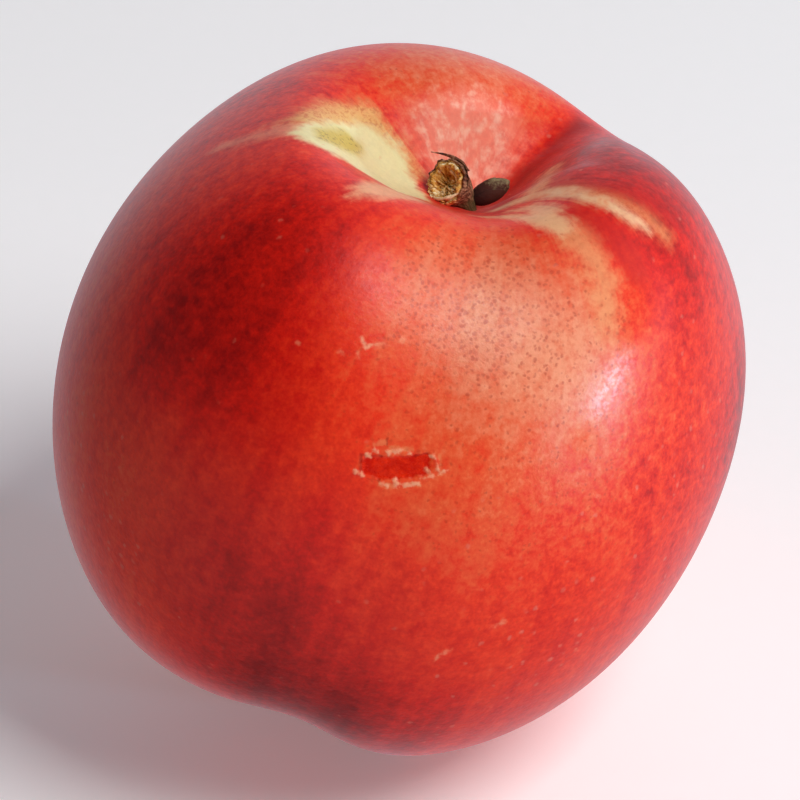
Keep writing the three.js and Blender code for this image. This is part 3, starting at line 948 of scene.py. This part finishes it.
def addFlake(bm, bend):
    shape = stemShape["flake"]
    foot = shape["foot"]
    flake = bmesh.new()
    bmesh.ops.create_grid(flake, x_segments=36, y_segments=10, size=0.5)

    def peel(x, y, z):
        turn = math.radians(shape["turn"]) + x * math.radians(shape["span"])
        tall = (shape["height"] + 0.06 * bumpy(x * 14, x * 0, x * 0, 4)) * (1 - (2 * np.abs(x)) ** 3)
        height = foot + (y + 0.5) * tall
        radius = 1.5 + (height - foot) * 3.0 + 0.06 * bumpy(x * 9, y * 5, x * 0, 6)
        return bend.place(radius * np.cos(turn), radius * np.sin(turn), height)

    moveAll(flake, peel)
    bmesh.ops.solidify(flake, geom=flake.faces[:], thickness=shape["thickness"])
    bmesh.ops.recalc_face_normals(flake, faces=flake.faces[:])
    addFibre(bm, flake, shape["wood"], 1.0)


def addSliver(bm):
    shape = stemShape
    curl = Bend(*shape["sliver"])
    sliver = makeRod(8, shape["sliverFoot"], shape["sliverTip"], 14)

    def roughen(x, y, z):
        wide = 0.7 + 0.25 * bumpy(z * 6, x * 2, y * 2, 3)
        thick = 0.35 + 0.15 * bumpy(z * 9, x * 2, y * 2, 5)
        return curl.place(x * wide, y * thick, z)

    moveAll(sliver, roughen)
    addFibre(bm, sliver, shape["sliverWood"], 2.0)


def makeStem():
    shape = stemShape
    bend = Bend(*shape["path"])
    chance = np.random.default_rng(shape["seed"])
    bm = bmesh.new()
    bm.verts.layers.float.new("wood")
    bm.verts.layers.float_vector.new("grainWay")
    spinProfile(bm, smoothProfile(shape["profile"], shape["profileSteps"]), shape["sides"])
    markWood(bm)
    moveAll(bm, lambda x, y, z: tear(bend, x, y, z))
    for _ in range(shape["splinters"]["count"]):
        addSplinter(bm, bend, chance)
    for index, pulls in enumerate(shape["strips"]):
        addStrip(bm, bend, np.array(pulls), index)
    addFlake(bm, bend)
    addSliver(bm)
    addWood("stemStub", bm, makeTwigMaterial(), "stem")


twigFinish = {
    "bark": [(0.22, tint(62, 28, 20)), (0.42, tint(122, 74, 52)), (0.6, tint(176, 128, 94)),
             (0.78, tint(222, 188, 148))],
    "wood": [(0.16, tint(104, 48, 8)), (0.36, tint(186, 114, 34)), (0.55, tint(238, 184, 92)),
             (0.75, tint(254, 232, 186))],
    "loose": tint(250, 222, 176),
    "green": tint(66, 62, 26),
    "roughness": 0.78,
    "relief": 0.14,
}


def makeTwigMaterial():
    f = twigFinish
    paint = Paint("tornTwig")
    place = paint.placeInMillimetres()
    wood = paint.attribute("wood")
    fine = paint.mottle(place, 0.35, 4, 0.7)
    broad = paint.mottle(place, 1.3, 3)
    streaks = paint.mottle(paint.attribute("grainWay", "Vector"), 0.28, 3, 0.6)
    bark = paint.ramp(f["bark"], fine * 0.7 + streaks * 1.1 + broad * 0.5 + 0.46)
    grain = paint.ramp(f["wood"], fine * 0.6 + streaks + broad * 0.8 + 0.55)
    bleached = paint.ease(wood, 1.05, 1.3) * paint.ease(broad + fine * 0.6, -0.4, 0.1)
    grain = paint.mix(bleached, grain, f["loose"])
    height = paint.vectorMaths("DOT_PRODUCT", place, (0, 0, 1.0)) - (cavityMiddle.z + 0.9)
    bark = paint.mix(paint.ease(height + broad * 1.2, -0.2, 1.3, 0.8, 0.0), bark, f["green"])
    colour = paint.mix(paint.ease(wood + fine * 0.3, 0.35, 0.65), bark, grain)
    return dried(paint, colour, fine + streaks * 1.6 + broad, f)


budShape = {
    "path": [(-0.1, 1.1, 0.5), (1.2, 1.4, 1.1), (2.7, 1.75, 1.75), (3.8, 2.15, 2.15)],
    "halfWidth": 1.1,
    "flatness": 0.85,
    # turn about the bud, start, end, half width in degrees, how far it stands off
    "scales": [(200, 0.0, 0.72, 75, 0.02), (60, 0.0, 0.66, 70, 0.03), (320, 0.03, 0.8, 72, 0.05),
               (130, 0.1, 0.9, 70, 0.0), (15, 0.12, 0.94, 66, 0.01), (250, 0.15, 0.97, 66, -0.01)],
    "thickness": 0.09,
    "core": 0.9,  # what the scales lie on, as a share of the radius
    "rings": 22,
    "sides": 28,
}


def budRadius(share):
    return budShape["halfWidth"] * (1 - np.abs(2 * np.clip(share, 0, 1) ** 0.86 - 1) ** 2.2) ** 0.68


def makeBud():
    shape = budShape
    bend = Bend(*shape["path"])
    bm = bmesh.new()
    bm.verts.layers.float.new("along")
    heights = np.linspace(0, 1, shape["rings"])
    radii = shape["core"] * budRadius(heights)
    radii[[0, -1]] = 0
    spinProfile(bm, list(zip(radii, heights)), shape["sides"])
    layer = bm.verts.layers.float["along"]
    for vert in bm.verts:
        vert[layer] = vert.co.z
    moveAll(bm, lambda x, y, z: bend.place(x, y * shape["flatness"], z))
    for turn, start, end, wide, off in shape["scales"]:
        scale = bmesh.new()
        mark = scale.verts.layers.float.new("along")
        bmesh.ops.create_grid(scale, x_segments=14, y_segments=18, size=0.5)
        for vert in scale.verts:
            vert[mark] = lerp(start, end, vert.co.y + 0.5)

        def wrap(x, y, z):
            share = y + 0.5
            angle = math.radians(turn) + 2 * x * math.radians(wide) * (1 - 0.96 * share ** 2.6) ** 0.7
            height = lerp(start, end, share)
            stand = 0.93 + off + 0.1 * share ** 3 + 0.05 * (1 - 4 * x * x)
            radius = np.maximum(budRadius(height), 0.1) * stand
            return bend.place(radius * np.cos(angle), radius * np.sin(angle) * shape["flatness"], height)

        moveAll(scale, wrap)
        bmesh.ops.solidify(scale, geom=scale.faces[:], thickness=shape["thickness"])
        bmesh.ops.remove_doubles(scale, verts=scale.verts[:], dist=1e-4)
        bmesh.ops.recalc_face_normals(scale, faces=scale.faces[:])
        addTo(bm, scale)
    addWood("sideBud", bm, makeBudMaterial(), "bud")


budFinish = {
    # foot is the bud's dark base, partly painted shade where it tucks under the stub; tip is the pale scale
    # ends, also laid on the top side as a painted highlight
    "foot": tint(46, 12, 8),
    "middle": tint(72, 32, 20),
    "tip": tint(140, 124, 88),
    "roughness": 0.75,
    "relief": 0.12,
}


def makeBudMaterial():
    f = budFinish
    paint = Paint("budScales")
    place = paint.placeInMillimetres()
    along = paint.attribute("along")
    fine = paint.mottle(place, 0.3, 4, 0.7)
    broad = paint.mottle(place, 1.0, 3)
    # darkest at the foot: partly painted shade under the stub
    colour = paint.mix(paint.ease(along + fine * 0.2, 0.1, 0.6), f["foot"], f["middle"])
    # painted highlight: the bud's upper side is made paler, as if lit from above, mixed into its paler tips
    foot = cavityMiddle + Vector((0, 0, 1))
    high = paint.vectorMaths("DOT_PRODUCT", place, (0, 0.4, 0.9)) - foot.z * 0.9 - foot.y * 0.4
    paleTipsAndLitTop = along * 0.7 + fine * 1.1 + broad * 0.9 + paint.ease(high, 0.4, 2.4) * 0.6
    colour = paint.mix(paint.ease(paleTipsAndLitTop, 0.75, 1.3), colour, f["tip"])
    return dried(paint, colour, fine + broad, f)


makeStem()
makeBud()


stage = {
    "floorSize": 6.0, "floorGlow": 0.15,
    "lights": {
        "keySoftbox": {"way": (0.46, -0.34, 0.79), "away": 0.9, "size": (0.42, 0.42), "power": 6.35,
                       "colour": (1.0, 1.0, 1.0)},
        "smallWindow": {"way": (0.92, -0.39, 0.025), "away": 0.8, "size": (0.06, 0.03), "power": 3.2,
                        "colour": (0.4, 0.75, 1.0)},
    },
    # the room is dark in front and pale behind, most of all on the right
    "roomDark": (0.04, 0.04, 0.045, 1.0), "roomPale": (0.78, 0.71, 0.79, 1.0),
    "roomWay": (0.38, 0.9, -0.16),
    "cameraDown": 36.0, "cameraDistance": 0.65, "cameraAim": (0.0001, 0.0008, 0.0365), "cameraLens": 288.3,
}


def addLight(name, settings):
    lamp = bpy.data.lights.new(name, "AREA")
    lamp.shape = "RECTANGLE"
    lamp.size, lamp.size_y = settings["size"]
    lamp.energy = settings["power"]
    lamp.color = settings["colour"]
    light = addObject(name, lamp)
    light.visible_camera = False
    way = Vector(settings["way"]).normalized()
    light.location = Vector(stage["cameraAim"]) + way * settings["away"]
    light.rotation_euler = way.to_track_quat("Z", "Y").to_euler()


def makeStage():
    bm = bmesh.new()
    bmesh.ops.create_grid(bm, x_segments=8, y_segments=8, size=stage["floorSize"] / 2)
    mesh = bpy.data.meshes.new("paleFloor")
    bm.to_mesh(mesh)
    bm.free()
    paint = Paint("palePaper")
    grain = paint.mottle(paint.placeInMillimetres(), 2.0, 3)
    mesh.materials.append(paint.finish(
        Base_Color=paint.mix(grain + 0.5, tint(246, 246, 245), tint(250, 250, 250)), Roughness=0.85,
        Emission_Color=(1.0, 1.0, 1.0, 1.0), Emission_Strength=stage["floorGlow"]))
    floor = addObject("paleFloor", mesh)
    floor.visible_glossy = False  # the skin mirrors the room, not the paper

    room = Paint("studioRoom", bpy.data.worlds.new("studioRoom"))
    way = room.node("TexCoord", output="Generated")
    facing = room.vectorMaths("DOT_PRODUCT", way, tuple(Vector(stage["roomWay"]).normalized()))
    colour = room.mix(room.ease(facing, -0.05, 0.95), stage["roomDark"], stage["roomPale"])
    room.end("World", room.node("Background", inputs={"Color": colour}))
    bpy.context.scene.world = room.owner

    for name, settings in stage["lights"].items():
        addLight(name, settings)
    bpy.context.scene.view_settings.view_transform = "Standard"

    down = math.radians(stage["cameraDown"])
    lens = bpy.data.cameras.new("view")
    lens.lens = stage["cameraLens"]
    camera = addObject("view", lens)
    ahead = Vector((0, math.cos(down), -math.sin(down)))
    camera.location = Vector(stage["cameraAim"]) - ahead * stage["cameraDistance"]
    camera.rotation_euler = (math.radians(90) - down, 0, 0)
    bpy.context.scene.camera = camera
    print("stage: floor, two lights, camera")


makeStage()
